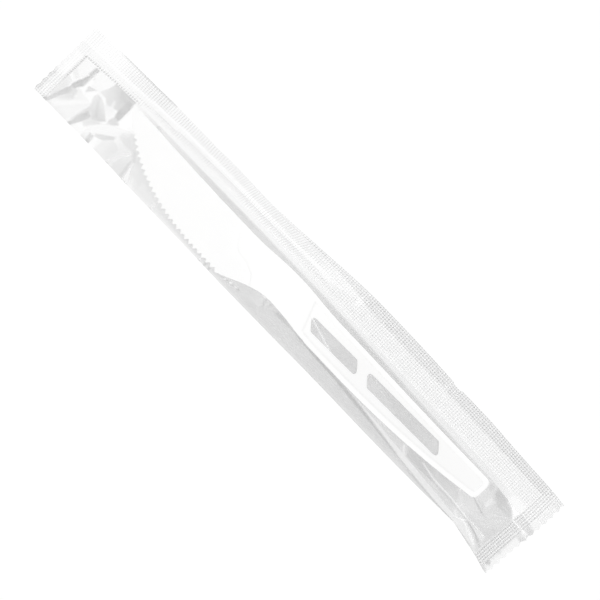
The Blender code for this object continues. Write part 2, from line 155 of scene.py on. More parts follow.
def newMaterial(name):
    made = bpy.data.materials.new(name)
    made.use_nodes = True
    tree = made.node_tree
    return made, tree, tree.nodes["Principled BSDF"]


def mathNode(tree, operation, a, b=None, c=None):
    node = tree.nodes.new("ShaderNodeMath")
    node.operation = operation
    for socket, value in zip(node.inputs, (a, b, c)):
        if value is None:
            continue
        if isinstance(value, (int, float)):
            socket.default_value = value
        else:
            tree.links.new(value, socket)
    return node.outputs[0]


# the haze that every finish of the object uses, as one node group

def hazeGroup():
    # slow and fine noise mixed into one value around 0, for colour and roughness that is never even
    group = bpy.data.node_groups.new("surfaceHaze", "ShaderNodeTree")
    for name, value in (("Slow Size", 40.0), ("Fine Size", 900.0), ("Fine Share", 0.4)):
        socket = group.interface.new_socket(name, in_out="INPUT", socket_type="NodeSocketFloat")
        socket.default_value = value
    group.interface.new_socket("Haze", in_out="OUTPUT", socket_type="NodeSocketFloat")
    nodes, links = group.nodes, group.links
    inside, outside = nodes.new("NodeGroupInput"), nodes.new("NodeGroupOutput")
    coords = nodes.new("ShaderNodeTexCoord")
    slow, fine = nodes.new("ShaderNodeTexNoise"), nodes.new("ShaderNodeTexNoise")
    for noise, size, detail in ((slow, "Slow Size", 2.0), (fine, "Fine Size", 3.0)):
        noise.inputs["Detail"].default_value = detail
        links.new(coords.outputs["Object"], noise.inputs["Vector"])
        links.new(inside.outputs[size], noise.inputs["Scale"])
    mixed = nodes.new("ShaderNodeMix")
    links.new(inside.outputs["Fine Share"], mixed.inputs["Factor"])
    links.new(slow.outputs["Fac"], mixed.inputs["A"])
    links.new(fine.outputs["Fac"], mixed.inputs["B"])
    centred = nodes.new("ShaderNodeMath")
    centred.operation = "SUBTRACT"
    centred.inputs[1].default_value = 0.5
    links.new(mixed.outputs[0], centred.inputs[0])
    links.new(centred.outputs[0], outside.inputs["Haze"])
    return group


haze = hazeGroup()


def addHaze(tree, sizes):
    # sizes: the slow noise's scale, the fine noise's scale, and the fine noise's share
    node = tree.nodes.new("ShaderNodeGroup")
    node.node_tree = haze
    for name, value in zip(("Slow Size", "Fine Size", "Fine Share"), sizes):
        node.inputs[name].default_value = value
    return node.outputs["Haze"]


# the knife: the CAD solid with a moulded finish

knifeLook = {
    "colour": (0.925, 0.925, 0.92),
    "darker": (0.895, 0.895, 0.895),
    "panel": 0.955,  # painted shade: brightness of the sunken panels beside the rest
    "panelTop": 2.95,  # the panels lie below this height
    "panelFrom": 4.0,  # where the painted shade begins along the knife, and over what length it grows
    "panelFade": 26.0,
    "roughness": 0.34,
    "roughnessSpread": 0.25,
    "haze": (60.0, 2500.0, 0.35),
    "cloudiness": 1.6,  # how far the haze swings between the two colours
    "grain": 0.010,  # bump strength and depth of the mould's fine grain
    "grainDepth": 0.2,
}


def knifeMaterial(look):
    made, tree, shader = newMaterial("mouldedPlastic")
    links = tree.links
    cloud = addHaze(tree, look["haze"])
    colours = tree.nodes.new("ShaderNodeMix")
    colours.data_type = "RGBA"
    links.new(mathNode(tree, "MULTIPLY_ADD", cloud, look["cloudiness"], 0.5), colours.inputs["Factor"])
    colours.inputs["A"].default_value = (*look["darker"], 1.0)
    colours.inputs["B"].default_value = (*look["colour"], 1.0)
    # painted shade: the sunken panels are a little darker, more so towards the handle's end
    coords, apart = tree.nodes.new("ShaderNodeTexCoord"), tree.nodes.new("ShaderNodeSeparateXYZ")
    links.new(coords.outputs["Object"], apart.inputs["Vector"])
    past = mathNode(tree, "SUBTRACT", apart.outputs["X"], look["panelFrom"] * mm)
    along = mathNode(tree, "DIVIDE", past, look["panelFade"] * mm)
    grown = mathNode(tree, "MINIMUM", mathNode(tree, "MAXIMUM", along, 0.0), 1.0)
    below = mathNode(tree, "LESS_THAN", apart.outputs["Z"], look["panelTop"] * mm)
    sunkenShade = mathNode(tree, "MULTIPLY", below, grown)
    shadeTint = tree.nodes.new("ShaderNodeHueSaturation")
    links.new(mathNode(tree, "MULTIPLY_ADD", sunkenShade, look["panel"] - 1.0, 1.0), shadeTint.inputs["Value"])
    links.new(colours.outputs["Result"], shadeTint.inputs["Color"])
    links.new(shadeTint.outputs["Color"], shader.inputs["Base Color"])
    rough = mathNode(tree, "MULTIPLY_ADD", cloud, look["roughnessSpread"], look["roughness"])
    links.new(rough, shader.inputs["Roughness"])
    bump = tree.nodes.new("ShaderNodeBump")
    bump.inputs["Strength"].default_value = look["grain"]
    bump.inputs["Distance"].default_value = look["grainDepth"] * mm
    links.new(cloud, bump.inputs["Height"])
    links.new(bump.outputs["Normal"], shader.inputs["Normal"])
    return made


knifeFinish = knifeMaterial(knifeLook)
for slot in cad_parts["knife"].material_slots:
    slot.material = knifeFinish
print("knife: finish set")


# the film: a tube pressed flat at both ends, with the knife inside

film = {
    "wall": 0.04,
    "ribPitch": 0.93,  # of the crimping across the pack
    "start": -106.8,
    "end": 106.7,
    "tubeColumns": 80,  # from the fold to the fin's inner edge
    "hiddenColumns": 8,  # under the fin
    "tuck": 0.5,  # how far the narrow columns run on under the fin
    "rounds": 1500,  # of the skin's relaxing over the knife
    "clear": 0.10,  # between the knife and the film on it
    "flatTop": 0.24,  # upper layer where the tube lies flat
    "under": 0.06,  # lower layer, and how far it waves up and down
    "underWave": 0.05,
    "underLeast": -0.03,
    "sealRib": 0.10,  # height of the seals' ribs along the pack and across it
    "crossRib": 0.04,
    "leftSeal": -102.0,  # inner edges of the two end seals
    "rightSeal": 98.5,
    "rightSealEnd": 103.4,
    # this corner beside the knife's tip stays clear
    "tipCorner": [(-80.0, 5.6), (-76.6, 5.6), (-72.8, -1.2), (-78.9, -2.9), (-80.0, -0.6)],
    # the cut ends: a zigzag that fades into the pack, and a slanted right end
    "zigzag": 2.8,
    "zigzagDepth": 0.9,
    "leftCut": 2.6,
    "rightCut": 2.4,
    "slantAcross": (10.0, -18.0),  # Y where the slant is none, and where it is whole
    "slantAlong": (92.0, 98.0),
    "skirtAlong": (103.4, 106.4),
    # seen from above: Y of each edge along the pack
    "fold": [(-107, -14.1), (-90, -13.9), (-80, -13.8), (-64, -14.1), (-40, -14.25), (-20, -14.5),
             (0, -14.45), (20, -14.3), (50, -14.45), (70, -14.3), (80, -14.0), (85, -13.9), (88.2, -14.4),
             (92.7, -15.2), (99.1, -16.3), (105, -17.75), (107, -17.9)],
    "tubeEdge": [(-107, 7.9), (-101, 8.2), (-87, 8.7), (-80, 9.5), (-70, 10.2), (-56, 10.9), (-20, 11.1),
                 (3.7, 11.2), (9.8, 12.4), (14.9, 13.4), (36, 13.3), (83, 12.5), (99, 12.1), (107, 11.9)],
    "finInner": [(-107, 4.6), (-101, 4.9), (-90, 5.6), (-79.5, 6.1), (-64, 6.3), (-32, 6.4), (0, 6.4),
                 (16, 6.1), (34, 5.5), (52, 4.8), (66, 4.4), (85, 3.9), (98, 3.0), (107, 2.6)],
    # painted shade: how dark the upper layer is along the pack where no facet lies
    "topDark": [(-107, 0.0), (-78, 0.03), (-70, 0.06), (-30, 0.05), (0, 0.04), (84, 0.05), (88, 0.11),
                (98, 0.12), (107, 0.04)],
    # painted shade: how dark the lower layer is along the pack, under the knife's side and beside its back
    "lowDark": [(-107, 0.01), (-78, 0.04), (-74, 0.13), (-56, 0.14), (-44, 0.18), (-28, 0.21),
                (-20, 0.28), (0, 0.33), (60, 0.34), (80, 0.30), (85, 0.23), (98, 0.22), (102.6, 0.16),
                (103.8, 0.03), (107, 0.03)],
    "gapDark": [(-107, 0.01), (-82, 0.04), (-76, 0.12), (-70, 0.14), (-55, 0.20), (-40, 0.27), (0, 0.28),
                (20, 0.37), (60, 0.34), (84, 0.26), (98, 0.16), (102.6, 0.14), (103.8, 0.10),
                (107, 0.10)],
    # the dark line where the film leaves the handle: its Y, half width and darkness along the pack
    "shadowLine": [(4.0, -8.15), (20.0, -8.95), (28.0, -9.2), (36.0, -9.85), (44.0, -10.5),
                   (52.0, -11.35), (60.0, -12.2), (68.0, -12.95), (76.0, -13.55), (84.0, -13.9)],
    "shadowHalf": [(4.0, 0.1), (12.0, 0.35), (20.0, 0.5), (34.0, 0.62), (44.0, 0.5), (52.0, 0.34),
                   (60.0, 0.28), (84.0, 0.2)],
    "shadowDark": [(3.0, 0.0), (7.0, 0.15), (20.0, 0.20), (40.0, 0.20), (52.0, 0.18), (62.0, 0.12),
                   (84.0, 0.08)],
    "shadowEnd": 85.0,
    # the faint shade under the toothed edge: Y of the tooth tips along the blade, and how dark it is
    "teeth": [(-76, -1.0), (-72, -3.2), (-68, -5.5), (-64, -7.3), (-60, -8.9), (-56, -10.0), (-52, -10.9),
              (-48, -11.6), (-44, -12.1), (-38, -12.5), (-30, -12.9), (-25, -13.3)],
    "teethDark": 0.045,
    "teethBelow": (-1.9, -0.4),  # Y from the tips where the shade ends and where it is whole
    "teethAbove": 2.0,  # the shade stays below this Y
    # a thin line of painted shade along the fold
    "foldDark": 0.10,
    "foldLine": (0.7, 0.2),  # distance from the fold where it ends and where it is whole
    "facetEdge": 0.30,  # softness of a facet's outline and of its relief
    "facetSlope": 0.9,
    "creaseEnd": 0.5,
    # the pressed pattern of the end seals as painted tone: painted shade in its ribs and pits, painted
    # highlight on the right seal's ribs, and what the lower half adds
    "lowHalf": (-3.0, -6.0),
    "leftRib": 0.06,
    "leftPit": 0.06,
    "leftPitLow": 0.12,
    "rightFlat": 0.05,
    "rightRib": 0.05,
    "rightPit": 0.30,
    "rightPitLow": 0.06,
    "rightWhite": 0.40,
    "innerLine": 0.60,  # darkness of the painted shade line at the left seal's inner edge
    "innerWidth": 0.35,
    "sealEase": 0.3,  # how sharply a seal begins
}

ribCount = round((film["end"] - film["start"]) / film["ribPitch"])
stations = np.linspace(film["start"], film["end"], 2 * ribCount + 1)
crest = np.arange(len(stations)) % 2  # every other station is the top of a rib


def endShift(x, y):
    # how far the two cut ends move along the pack: a triangle wave |2 (y / zigzag mod 1) - 1|, and the slant
    # of the right end
    wave = np.abs(((y / film["zigzag"]) % 1.0) * 2.0 - 1.0) * film["zigzagDepth"]
    left = share(x, film["start"] + film["leftCut"], film["start"])
    right = share(x, film["end"] - film["rightCut"], film["end"])
    slanted = share(x, *film["slantAlong"]) + 0.5 * share(x, *film["skirtAlong"])
    return 0.5 * left * wave - slanted * ramp(y, *film["slantAcross"]) - right * wave


def tubeGrid():
    # x follows the stations; y = low + (middle - low) t up to the fin's inner edge, for t from 0 to 1, and
    # from there on wide columns run to the tube's own edge, under the fin
    shown, hidden = film["tubeColumns"], film["hiddenColumns"]
    t = np.concatenate([np.linspace(0, 1, shown + 1), 1 + np.linspace(0, 1, hidden + 1)[1:]])[None, :]
    x = np.repeat(stations[:, None], shown + hidden + 1, 1)
    low, high = through(x, film["fold"]), through(x, film["tubeEdge"])
    middle = through(x, film["finInner"]) + film["tuck"]
    return x, low + (middle - low) * np.minimum(t, 1) + (high - middle) * np.maximum(t - 1, 0)


def drape(lowest, held):
    # a stretched skin over the knife: in each round a free point moves to the mean of its four neighbours,
    # z = (left + right + front + back) / 4, and never below what it lies on
    z = lowest.copy()
    for _ in range(film["rounds"]):
        mean = 0.25 * (z[:-2, 1:-1] + z[2:, 1:-1] + z[1:-1, :-2] + z[1:-1, 2:])
        z[1:-1, 1:-1] = np.where(held[1:-1, 1:-1], z[1:-1, 1:-1], np.maximum(mean, lowest[1:-1, 1:-1]))
    return z


# facets of the crumpled film: corners, how dark its painted shade is at its first side and at its far
# corner, and how high it stands; a later facet lies over an earlier one
filmFacets = [
    # blade end, from the seal to the knife's tip
    ([(-101.8, 4.4), (-97.7, 4.6), (-97.6, 0.8), (-99.9, -3.0), (-101.8, -1.6)], 0.03, 0.05, 0.4),
    ([(-101.8, 0.6), (-101.8, -1.4), (-99.4, -2.4), (-98.9, -1.2)], 0.10, 0.11, 0.2),
    ([(-101.8, -2.9), (-99.8, -3.4), (-99.3, -6.2), (-101.2, -11.4), (-101.8, -11.4)], 0.12, 0.18, 0.4),
    ([(-97.4, 4.9), (-95.8, 4.9), (-96.0, 3.3), (-96.4, 1.7), (-97.6, 1.7)], 0.38, 0.38, 0.7),
    ([(-96.2, 3.6), (-95.7, 3.4), (-94.7, 1.4), (-95.3, 1.4)], 0.10, 0.14, 0.4),
    ([(-96.9, 2.4), (-96.1, 2.3), (-96.0, -2.4), (-97.0, -3.4), (-98.3, -1.8), (-97.6, 0.6)],
     0.40, 0.42, 0.9),
    ([(-98.4, -1.6), (-96.8, -2.9), (-97.3, -4.8), (-98.7, -5.4), (-99.2, -4.2)], 0.42, 0.36, 0.9),
    ([(-97.0, -3.4), (-95.4, -3.6), (-94.2, -4.4), (-96.2, -8.2), (-98.8, -9.0), (-98.0, -6.6),
      (-97.4, -4.8)], 0.10, 0.16, 0.4),
    ([(-98.9, -4.8), (-97.4, -4.8), (-97.6, -7.0), (-99.4, -8.0), (-99.9, -7.2)], 0.30, 0.30, 0.8),
    ([(-96.0, 2.2), (-95.1, 1.4), (-94.9, -2.6), (-94.6, -3.4), (-95.3, -3.7), (-96.0, -2.6)],
     0.00, 0.00, 0.3),
    ([(-95.9, 5.0), (-89.5, 5.5), (-89.2, 3.8), (-91.0, 0.3), (-92.4, -0.4), (-94.7, -0.4), (-94.9, 1.4)],
     0.02, 0.04, 0.5),
    ([(-94.9, -0.9), (-92.0, -0.1), (-92.4, -1.2), (-93.6, -2.2), (-94.2, -3.0)], 0.26, 0.18, 0.3),
    ([(-94.9, -1.0), (-94.3, -1.2), (-94.0, -2.9), (-94.5, -2.6)], 0.24, 0.26, 0.3),
    ([(-92.3, -0.7), (-91.5, -0.8), (-89.5, -3.8), (-91.0, -4.4), (-93.7, -3.4)], 0.00, 0.00, 0.6),
    ([(-94.1, -4.0), (-90.1, -4.4), (-90.6, -7.0), (-92.4, -13.9), (-101.3, -13.9), (-98.8, -9.2)],
     0.06, 0.10, 0.5),
    ([(-92.4, -4.8), (-91.0, -4.8), (-98.0, -13.2), (-100.0, -12.9)], 0.03, 0.05, 0.5),
    ([(-98.8, -8.8), (-96.6, -6.6), (-95.6, -7.4), (-99.4, -12.2), (-100.6, -12.6)], 0.10, 0.04, 0.4),
    ([(-98.2, -5.0), (-96.6, -4.4), (-95.4, -7.4), (-98.2, -10.8), (-99.8, -11.2)], 0.24, 0.12, 0.3),
    ([(-99.5, -6.2), (-98.0, -5.6), (-98.0, -7.4), (-101.0, -14.0), (-102.1, -14.0), (-101.4, -11.6)],
     0.34, 0.30, 0.6),
    ([(-89.4, 6.3), (-80.6, 6.6), (-80.6, 5.3), (-89.3, 4.9)], 0.30, 0.28, 0.4),
    ([(-89.2, 5.2), (-82.4, 5.4), (-82.4, 0.2), (-84.4, -0.4), (-86.2, -1.0), (-91.0, 0.2)],
     0.27, 0.13, 0.5),
    ([(-86.4, 5.2), (-82.2, 5.2), (-82.2, 0.2), (-83.6, 1.0)], 0.30, 0.24, 0.4),
    ([(-86.0, 1.6), (-85.4, 1.8), (-84.0, -0.6), (-85.2, -0.9)], 0.13, 0.06, 0.4),
    ([(-90.6, 0.3), (-88.3, 0.3), (-87.1, -0.9), (-87.6, -1.8), (-89.0, -0.9)], 0.02, 0.00, 0.5),
    ([(-90.9, -0.5), (-89.0, -0.8), (-86.4, -2.1), (-83.0, -4.9), (-84.6, -6.7), (-87.0, -8.0),
      (-89.6, -6.0), (-91.5, -2.0)], 0.15, 0.26, 0.7),
    ([(-90.4, -0.9), (-89.6, -0.9), (-85.6, -6.2), (-86.8, -6.6)], 0.20, 0.28, 0.7),
    ([(-87.4, -1.3), (-83.2, -0.5), (-82.6, -3.4), (-82.4, -5.1), (-84.2, -3.9), (-86.2, -2.3)],
     0.07, 0.00, 0.3),
    ([(-82.5, 5.2), (-80.6, 5.4), (-80.0, 3.0), (-79.9, 0.0), (-80.3, -2.2), (-81.9, -2.2), (-82.6, 0.0)],
     0.34, 0.38, 0.6),
    ([(-82.0, -2.0), (-80.4, -2.0), (-79.1, -2.9), (-80.4, -4.1), (-82.2, -5.3), (-82.6, -4.0)],
     0.27, 0.17, 0.4),
    ([(-90.4, -4.8), (-88.8, -5.8), (-88.8, -8.0), (-90.6, -11.0), (-91.8, -13.9), (-92.3, -13.9),
      (-91.2, -9.6)], 0.20, 0.20, 0.5),
    ([(-89.7, -6.4), (-87.6, -7.2), (-87.6, -8.6), (-88.8, -11.2), (-90.2, -13.9), (-91.9, -13.9),
      (-90.6, -10.2)], 0.36, 0.29, 0.5),
    ([(-88.2, -10.3), (-87.0, -11.0), (-85.8, -12.6), (-86.2, -13.9), (-90.0, -14.0), (-89.2, -12.0)],
     0.00, 0.03, 0.3),
    ([(-87.6, -8.0), (-84.4, -6.7), (-83.4, -6.4), (-87.0, -11.2), (-88.3, -10.4)], 0.17, 0.15, 0.2),
    ([(-77.2, -6.1), (-76.9, -7.2), (-79.4, -9.8), (-82.4, -10.9), (-82.6, -9.9)], 0.24, 0.18, 0.2),
    ([(-84.3, -11.0), (-82.3, -10.8), (-81.9, -13.9), (-83.4, -13.9)], 0.24, 0.28, 0.3),
    ([(-85.6, -12.2), (-84.0, -11.2), (-83.4, -13.9), (-85.6, -13.9)], 0.06, 0.12, 0.3),
    ([(-82.1, -10.6), (-81.0, -10.9), (-79.7, -13.4), (-80.4, -13.9), (-81.9, -13.9)], 0.00, 0.00, 0.2),
    # under the blade
    ([(-79.4, -10.0), (-77.0, -7.2), (-73.6, -8.0), (-74.6, -14.0), (-79.4, -14.0)], 0.10, 0.07, 0.05),
    ([(-76.4, -3.2), (-74.6, -2.6), (-70.2, -5.6), (-73.6, -6.0), (-76.6, -5.2)], 0.10, 0.14, 0.3),
    ([(-76.8, -5.6), (-73.4, -6.0), (-71.0, -6.4), (-73.0, -8.0), (-76.4, -7.4)], 0.02, 0.06, 0.3),
    ([(-70.6, -5.2), (-69.4, -4.6), (-66.6, -7.4), (-67.6, -7.9), (-70.0, -6.2)], 0.12, 0.16, 0.2),
    ([(-71.2, -9.4), (-69.2, -7.8), (-68.0, -8.2), (-67.6, -14.0), (-71.9, -14.0)], 0.07, 0.12, 0.05),
    ([(-68.6, -7.6), (-67.7, -7.9), (-66.5, -13.9), (-67.9, -13.9)], 0.16, 0.20, 0.2),
    ([(-65.8, -8.4), (-62.6, -7.7), (-60.6, -10.4), (-61.0, -11.8), (-63.0, -11.0)], 0.06, 0.10, 0.2),
    ([(-64.6, -10.6), (-63.6, -11.2), (-61.6, -13.9), (-63.8, -13.9)], 0.00, 0.00, 0.2),
    # under the neck
    ([(-11.6, -8.3), (-7.4, -7.2), (-6.0, -10.0), (-7.6, -11.2), (-10.4, -11.0)], 0.00, 0.00, 0.1),
    ([(-7.3, -7.3), (-6.6, -7.3), (-5.3, -10.2), (-5.9, -10.4)], 0.14, 0.12, 0.0),
    ([(-6.4, -7.3), (-4.9, -7.3), (-4.6, -8.4), (-5.3, -10.0)], 0.00, 0.00, 0.1),
    ([(-4.9, -7.3), (-4.1, -7.3), (-4.0, -8.8), (-4.9, -9.8)], 0.10, 0.08, 0.1),
    ([(-2.5, -8.7), (-1.0, -7.6), (2.0, -7.4), (4.2, -7.8), (4.9, -8.5), (1.0, -8.8)], 0.17, 0.17, 0.1),
    # beside the handle's end
    ([(36.0, -8.4), (57.0, -7.2), (56.6, -9.7), (52.0, -9.6)], 0.00, 0.04, 0.1),
    ([(66.0, -6.6), (80.2, -4.9), (81.0, -8.8), (70.4, -8.8)], 0.12, 0.05, 0.2),
    ([(58.4, -7.2), (66.8, -6.4), (72.4, -9.4), (72.0, -9.8), (60.4, -10.2)], 0.14, 0.13, 0.1),
    ([(64.0, -9.5), (76.0, -9.8), (87.8, -10.4), (85.2, -12.0), (74.0, -11.2)], 0.02, 0.06, 0.2),
    ([(85.2, 3.3), (86.9, 3.4), (86.9, 1.5), (85.2, 1.5)], 0.15, 0.15, 0.2),
    ([(86.9, 3.4), (88.0, 3.4), (88.4, 1.6), (86.9, 1.5)], 0.06, 0.08, 0.2),
    ([(85.1, 1.3), (88.2, 1.3), (88.3, -2.9), (85.1, -3.4)], 0.05, 0.05, 0.1),
    ([(87.9, 3.8), (92.9, 3.5), (93.2, 1.0), (92.2, -0.6), (88.5, 1.7)], 0.26, 0.21, 0.3),
    ([(92.6, 2.7), (95.4, 2.2), (97.2, 0.8), (98.2, -0.1), (92.3, -0.5)], 0.22, 0.16, 0.3),
    ([(88.1, 0.4), (90.3, -0.2), (89.6, -3.6), (88.2, -2.8)], 0.00, 0.00, 0.2),
    ([(90.2, -0.5), (93.4, -0.3), (94.4, -2.2), (92.4, -5.6), (89.8, -4.8)], 0.12, 0.07, 0.3),
    ([(84.4, -4.4), (89.6, -5.8), (84.0, -8.4), (81.6, -5.6)], 0.07, 0.05, 0.2),
    ([(91.2, -8.4), (94.0, -7.0), (98.2, -5.8), (98.0, -9.6), (94.0, -9.6)], 0.12, 0.14, 0.2),
    ([(88.0, -10.3), (97.2, -10.5), (98.0, -12.6), (93.0, -11.2)], 0.00, 0.02, 0.2),
    ([(103.5, 2.5), (106.6, 2.5), (106.6, 0.5), (103.5, 0.4)], 0.26, 0.26, 0.1),
    ([(103.5, -0.9), (106.6, -1.0), (106.6, -3.1), (103.5, -2.8)], 0.22, 0.28, 0.1),
    ([(103.4, -9.6), (104.6, -9.8), (104.6, -10.6), (103.4, -10.4)], 0.20, 0.20, 0.1),
    ([(102.6, -13.8), (104.6, -14.2), (105.0, -15.4), (103.0, -15.8)], 0.34, 0.34, 0.1),
    ([(102.8, -16.6), (105.4, -16.6), (106.2, -17.9), (102.4, -17.5)], 0.20, 0.24, 0.1),
    # over the two windows
    ([(6.0, 1.2), (31.0, 1.2), (31.0, -5.0), (6.0, -5.0)], 0.05, 0.09, 0.0),
    ([(7.0, -0.9), (18.6, -4.1), (18.0, -5.0), (7.0, -5.0)], 0.03, 0.05, 0.0),
    ([(32.0, 1.4), (62.0, 1.4), (62.0, -4.8), (32.0, -4.8)], 0.10, 0.08, 0.0),
    ([(32.0, -0.2), (36.0, -0.4), (48.0, -3.1), (45.0, -4.8), (32.0, -4.8)], 0.06, 0.05, 0.0),
]


# creases: line, half width, height, painted highlight along it, painted shade along it
filmCreases = [
    ([(65.6, -7.8), (70.8, -8.8), (80.0, -9.05), (83.6, -9.5), (88.0, -9.9)], 0.26, 0.25, 0.75, 0.0),
    ([(88.0, -9.9), (92.0, -9.9), (96.6, -10.3)], 0.30, 0.15, 0.45, 0.0),
    ([(66.0, -9.8), (71.0, -9.65), (80.0, -9.75), (88.0, -10.35)], 0.18, 0.0, 0.0, 0.14),
    ([(88.0, -10.35), (91.0, -10.95), (94.0, -11.7), (96.0, -12.6), (98.2, -13.4)], 0.22, 0.0, 0.0, 0.22),
    ([(7.6, -1.1), (13.5, -2.75), (18.6, -4.15)], 0.18, 0.0, 0.62, 0.0),
    ([(36.0, -0.4), (48.0, -3.1)], 0.16, 0.03, 0.16, 0.0),
    ([(84.2, -3.7), (89.4, -5.25)], 0.15, 0.10, 0.0, 0.28),
    ([(89.4, -5.25), (93.4, -5.8)], 0.24, 0.05, 0.0, 0.08),
    ([(96.0, -6.2), (98.2, -7.0)], 0.20, 0.05, 0.0, 0.08),
    ([(84.4, -3.3), (89.4, -4.85)], 0.18, 0.10, 0.35, 0.0),
    ([(83.3, -11.0), (85.3, -12.2), (87.0, -11.4), (88.2, -10.3)], 0.30, 0.20, 0.75, 0.0),
    ([(79.6, -5.2), (82.2, -7.4), (83.4, -9.4)], 0.70, 0.25, 0.34, 0.0),
    ([(83.4, -7.8), (83.3, -9.4)], 0.30, 0.15, 0.60, 0.0),
    ([(85.0, 1.42), (89.4, 1.4)], 0.16, 0.05, 0.35, 0.0),
    ([(-30.8, -12.4), (-30.8, -14.4)], 0.30, 0.10, 0.95, 0.0),
    ([(-28.5, -12.8), (-28.5, -14.3)], 0.22, 0.10, 0.0, 0.18),
    ([(-26.5, -13.0), (-26.5, -14.3)], 0.20, 0.10, 0.0, 0.14),
    ([(57.0, -8.2), (58.0, -9.4), (59.6, -10.5)], 0.45, 0.20, 0.55, 0.0),
    ([(-70.0, -6.4), (-71.4, -8.6), (-73.6, -13.8)], 0.80, 0.0, 0.30, 0.0),
    ([(-53.2, -12.0), (-53.2, -14.0)], 0.60, 0.10, 0.30, 0.0),
    ([(-21.2, -12.7), (-20.2, -12.4), (-15.0, -11.7)], 0.32, 0.05, 0.0, 0.14),
    ([(-20.6, -12.6), (-20.5, -12.5)], 0.30, 0.05, 0.85, 0.0),
    ([(-18.5, -12.1), (-18.4, -12.0)], 0.38, 0.05, 0.98, 0.0),
    ([(-16.4, -11.8), (-16.3, -11.8)], 0.34, 0.05, 0.85, 0.0),
    ([(-7.8, -7.1), (-7.4, -7.2)], 0.34, 0.05, 0.98, 0.0),
    ([(2.0, -9.6), (12.0, -11.2)], 0.25, 0.05, 0.14, 0.0),
    ([(-4.0, -10.8), (8.0, -11.6)], 0.25, 0.05, 0.12, 0.0),
    ([(98.4, 0.1), (106.6, -0.1)], 0.32, 0.06, 0.60, 0.0),
    ([(98.0, -0.4), (93.2, -3.0)], 0.30, 0.15, 0.24, 0.0),
    ([(97.8, -2.0), (94.2, -4.8)], 0.60, 0.15, 0.20, 0.0),
    ([(84.0, -8.6), (90.0, -7.3), (94.6, -5.0), (98.0, -3.8)], 0.80, 0.15, 0.22, 0.0),
    ([(88.6, -14.2), (94.6, -15.4)], 0.18, 0.0, 0.0, 0.10),
    ([(64.0, -13.1), (76.0, -13.65), (85.0, -13.75)], 0.16, 0.0, 0.0, 0.10),
    ([(-69.6, 6.4), (-68.8, 5.3)], 0.20, 0.05, 0.70, 0.0),
    ([(-70.1, 6.0), (-69.9, 5.4)], 0.26, 0.05, 0.0, 0.20),
]


# broad bands and patches of painted highlight: corners, how white, how high
filmBands = [
    ([(35.0, -8.9), (44.0, -9.1), (52.0, -9.7), (57.6, -10.1), (57.0, -11.7), (46.0, -10.3)], 0.50, 0.10),
    ([(57.0, -10.0), (84.5, -12.1), (85.5, -13.8), (76.0, -13.4), (66.0, -12.7), (57.0, -11.9)],
     0.52, 0.15),
    ([(85.0, -12.5), (88.0, -11.0), (93.0, -12.4), (98.0, -14.4), (98.0, -16.2), (92.6, -15.0),
      (88.0, -14.2), (84.8, -13.8)], 0.50, 0.30),
    ([(96.2, 3.8), (98.6, 3.8), (98.6, 0.0), (97.4, 0.9), (96.2, 2.0)], 0.80, 0.05),
    ([(92.9, 4.2), (96.5, 4.2), (96.5, 1.9), (92.9, 3.3)], 0.80, 0.05),
    ([(-67.6, -7.6), (-66.2, -8.8), (-64.6, -12.6), (-63.8, -13.9), (-66.3, -14.1), (-66.9, -11.0)],
     0.62, 0.05),
    ([(-75.2, -1.6), (-82.0, -5.0), (-82.8, -8.4), (-74.6, -2.9)], 0.24, 0.12),
    ([(-81.4, -4.6), (-84.2, -7.0), (-86.6, -10.4), (-86.3, -12.0), (-81.8, -7.6)], 0.24, 0.12),
    ([(88.1, 0.4), (90.3, -0.2), (89.6, -3.6), (88.2, -2.8)], 0.20, 0.05),
    ([(-6.5, -7.2), (-4.8, -7.2), (-4.5, -8.4), (-5.3, -10.1)], 0.12, 0.0),
]


def handleShadow(x, y):
    # dark times a soft band: 1 within 0.4 of the half width of the line, 0 from 1.4 of it
    off = np.abs(y - through(x, film["shadowLine"]))
    half = through(x, film["shadowHalf"])
    return through(x, film["shadowDark"]) * ramp(off, 1.4 * half, 0.4 * half) * (x < film["shadowEnd"])


def toothShade(x, y):
    # a faint shade under the blade's toothed edge, where the film comes down from it: a band that follows
    # the tooth tips, fading at both ends of the teeth
    below = ramp(y - through(x, film["teeth"]), *film["teethBelow"])
    return film["teethDark"] * below * ramp(x, -76, -74) * ramp(x, -20, -26) * (y < film["teethAbove"])


def upperTone(x, y):
    # how much painted shade the upper layer adds, how much painted highlight it has, and how far it stands
    # up:
    # each facet sets its own painted shade, near + (far - near) t with t from its first side to its far
    # corner
    shadePaint, highlightPaint, rise = through(x, film["topDark"]), np.zeros_like(x), np.zeros_like(x)
    for corners, near, far, high in filmFacets:
        start = np.add(corners[0], corners[1]) / 2
        reach = max((np.subtract(c, start) for c in corners[2:]), key=lambda d: np.hypot(*d))
        t = np.clip(((x - start[0]) * reach[0] + (y - start[1]) * reach[1]) / np.dot(reach, reach), 0, 1)
        shadePaint += facetMask(x, y, corners, film["facetEdge"]) * (near + (far - near) * t - shadePaint)
        rise = np.maximum(rise, facetMask(x, y, corners, film["facetSlope"]) * high)
    for corners, white, high in filmBands:
        highlightPaint = np.maximum(highlightPaint, facetMask(x, y, corners, film["facetEdge"]) * white)
        rise = np.maximum(rise, facetMask(x, y, corners, film["facetSlope"]) * high)
    for line, halfWidth, high, white, dark in filmCreases:
        mask = lineMask(x, y, line, halfWidth, film["creaseEnd"])
        highlightPaint = np.maximum(highlightPaint, mask * white)
        shadePaint += mask * dark
        rise += mask * high
    foldLine = ramp(y - through(x, film["fold"]), *film["foldLine"]) * ramp(x, -40, 0) * ramp(x, 86, 82)
    shadePaint += handleShadow(x, y) + toothShade(x, y) + film["foldDark"] * foldLine
    shadePaint *= 1 - facetMask(x, y, film["tipCorner"], film["facetEdge"])
    return shadePaint, highlightPaint, rise


